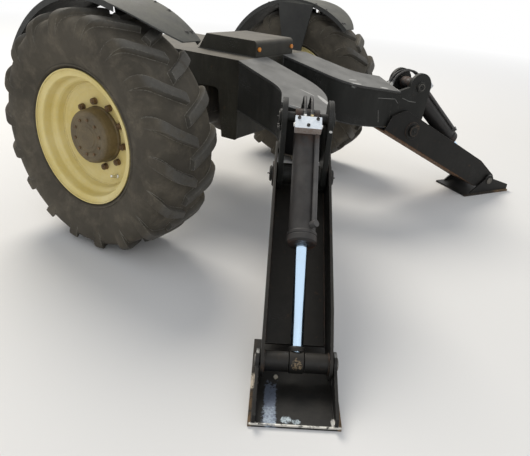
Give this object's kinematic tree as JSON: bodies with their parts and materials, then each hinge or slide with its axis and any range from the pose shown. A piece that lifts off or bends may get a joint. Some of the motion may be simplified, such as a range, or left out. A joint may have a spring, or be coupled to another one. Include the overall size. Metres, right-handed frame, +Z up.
{
  "type": "telehandler front axle with stabilisers",
  "caption": "Front end of a telehandler: steered front axle with traction tyres, frame nose and dog-leg arms with swinging hydraulic stabiliser legs and pivoting feet.",
  "frame": {"origin": "on the ground, in the middle of the assembly's length and width", "axes": "+X forward, the way the machine drives; +Y to its left; +Z up"},
  "size_m": [2.3076, 3.3904, 1.261],
  "materials": {
    "frame_paint": "satin",
    "arm_paint": "satin, scuffed",
    "barrel_paint": "satin, rusted at the ends",
    "rim_paint": "satin",
    "hub_paint": "dull",
    "axle_iron": "painted, dirty",
    "tyre_rubber": "dusty",
    "hose_rubber": "satin",
    "mudguard_plastic": "matt",
    "chrome_rod": "polished",
    "valve_alloy": "machined",
    "nut_steel": "dull",
    "reflector": "gloss"
  },
  "bodies": {
    "frame": {"frame_deck": "frame_paint", "frame_belly": "frame_paint", "frame_front": "frame_paint", "frame_nose": "frame_paint", "nose_reflectors": "reflector", "rear_bulkhead": "frame_paint", "axle_beam": "axle_iron", "axle_saddles": "axle_iron", "steering_cylinder": "axle_iron", "frame_side_left": "frame_paint", "arm_left": "arm_paint", "arm_plate_left": "arm_paint", "arm_lugs_left": "arm_paint", "hoses_left": "hose_rubber", "frame_side_right": "frame_paint", "arm_right": "arm_paint", "arm_plate_right": "arm_paint", "arm_lugs_right": "arm_paint", "hoses_right": "hose_rubber"},
    "steering_rod": {"steering_rod": "chrome_rod"},
    "knuckle_left": {"knuckle_left": "axle_iron", "mudguard_left": "mudguard_plastic"},
    "wheel_left": {"tyre_left": "tyre_rubber", "rim_left": "rim_paint", "hub_left": "hub_paint", "wheel_nuts_left": "nut_steel"},
    "leg_left": {"leg_left": "arm_paint"},
    "foot_left": {"foot_left": "arm_paint"},
    "barrel_left": {"barrel_left": "barrel_paint", "valve_block_left": "valve_alloy", "feed_pipe_left": "barrel_paint"},
    "rod_left": {"rod_left": "chrome_rod"},
    "knuckle_right": {"knuckle_right": "axle_iron", "mudguard_right": "mudguard_plastic"},
    "wheel_right": {"tyre_right": "tyre_rubber", "rim_right": "rim_paint", "hub_right": "hub_paint", "wheel_nuts_right": "nut_steel"},
    "leg_right": {"leg_right": "arm_paint"},
    "foot_right": {"foot_right": "arm_paint"},
    "barrel_right": {"barrel_right": "barrel_paint", "valve_block_right": "valve_alloy", "feed_pipe_right": "barrel_paint"},
    "rod_right": {"rod_right": "chrome_rod"}
  },
  "joints": [
    {"name": "steer_left", "type": "hinge", "parent": "frame", "child": "knuckle_left", "pos_m": [-0.53385, 0.83, 0.6], "axis": [0, 0, 1], "range_deg": [-35, 35]},
    {"name": "spin_left", "type": "hinge", "parent": "knuckle_left", "child": "wheel_left", "pos_m": [-0.53385, 1.01, 0.6], "axis": [0, 1, 0], "continuous": true},
    {"name": "leg_left", "type": "hinge", "parent": "frame", "child": "leg_left", "pos_m": [0.44715, 0.688, 0.538], "axis": [0.8517, -0.524, 0], "range_deg": [-5, 77]},
    {"name": "foot_left", "type": "hinge", "parent": "leg_left", "child": "foot_left", "pos_m": [0.89584, 1.41733, 0.104], "axis": [0.8517, -0.524, 0], "range_deg": [-20, 20]},
    {"name": "barrel_left", "type": "hinge", "parent": "frame", "child": "barrel_left", "pos_m": [0.45711, 0.70418, 0.826], "axis": [0.8517, -0.524, 0], "range_deg": [-5.15, 77.82], "deforming": ["hoses_left"]},
    {"name": "rod_left", "type": "slide", "parent": "barrel_left", "child": "rod_left", "axis": [0.3968, 0.645, -0.653], "range_m": [-0.3602, 0.0243]},
    {"name": "steer_right", "type": "hinge", "parent": "frame", "child": "knuckle_right", "pos_m": [-0.53385, -0.83, 0.6], "axis": [0, 0, 1], "range_deg": [-35, 35]},
    {"name": "spin_right", "type": "hinge", "parent": "knuckle_right", "child": "wheel_right", "pos_m": [-0.53385, -1.01, 0.6], "axis": [0, 1, 0], "continuous": true},
    {"name": "leg_right", "type": "hinge", "parent": "frame", "child": "leg_right", "pos_m": [0.44715, -0.688, 0.538], "axis": [-0.8517, -0.524, 0], "range_deg": [-5, 77]},
    {"name": "foot_right", "type": "hinge", "parent": "leg_right", "child": "foot_right", "pos_m": [0.89584, -1.41733, 0.104], "axis": [-0.8517, -0.524, 0], "range_deg": [-20, 20]},
    {"name": "barrel_right", "type": "hinge", "parent": "frame", "child": "barrel_right", "pos_m": [0.45711, -0.70418, 0.826], "axis": [-0.8517, -0.524, 0], "range_deg": [-5.15, 77.82], "deforming": ["hoses_right"]},
    {"name": "rod_right", "type": "slide", "parent": "barrel_right", "child": "rod_right", "axis": [0.3968, -0.645, -0.653], "range_m": [-0.3602, 0.0243]},
    {"name": "steer_slide", "type": "slide", "parent": "frame", "child": "steering_rod", "axis": [0, 1, 0], "range_m": [-0.125, 0.125]}
  ],
  "couplings": [
    {"joint": "barrel_left", "follows": "leg_left", "ratio": 1.0094},
    {"joint": "rod_left", "follows": "leg_left", "m_per_rad": -0.26725},
    {"joint": "barrel_right", "follows": "leg_right", "ratio": 1.0094},
    {"joint": "rod_right", "follows": "leg_right", "m_per_rad": -0.26725},
    {"joint": "steer_right", "follows": "steer_left", "ratio": 1},
    {"joint": "steer_slide", "follows": "steer_left", "m_per_rad": -0.20188}
  ]
}
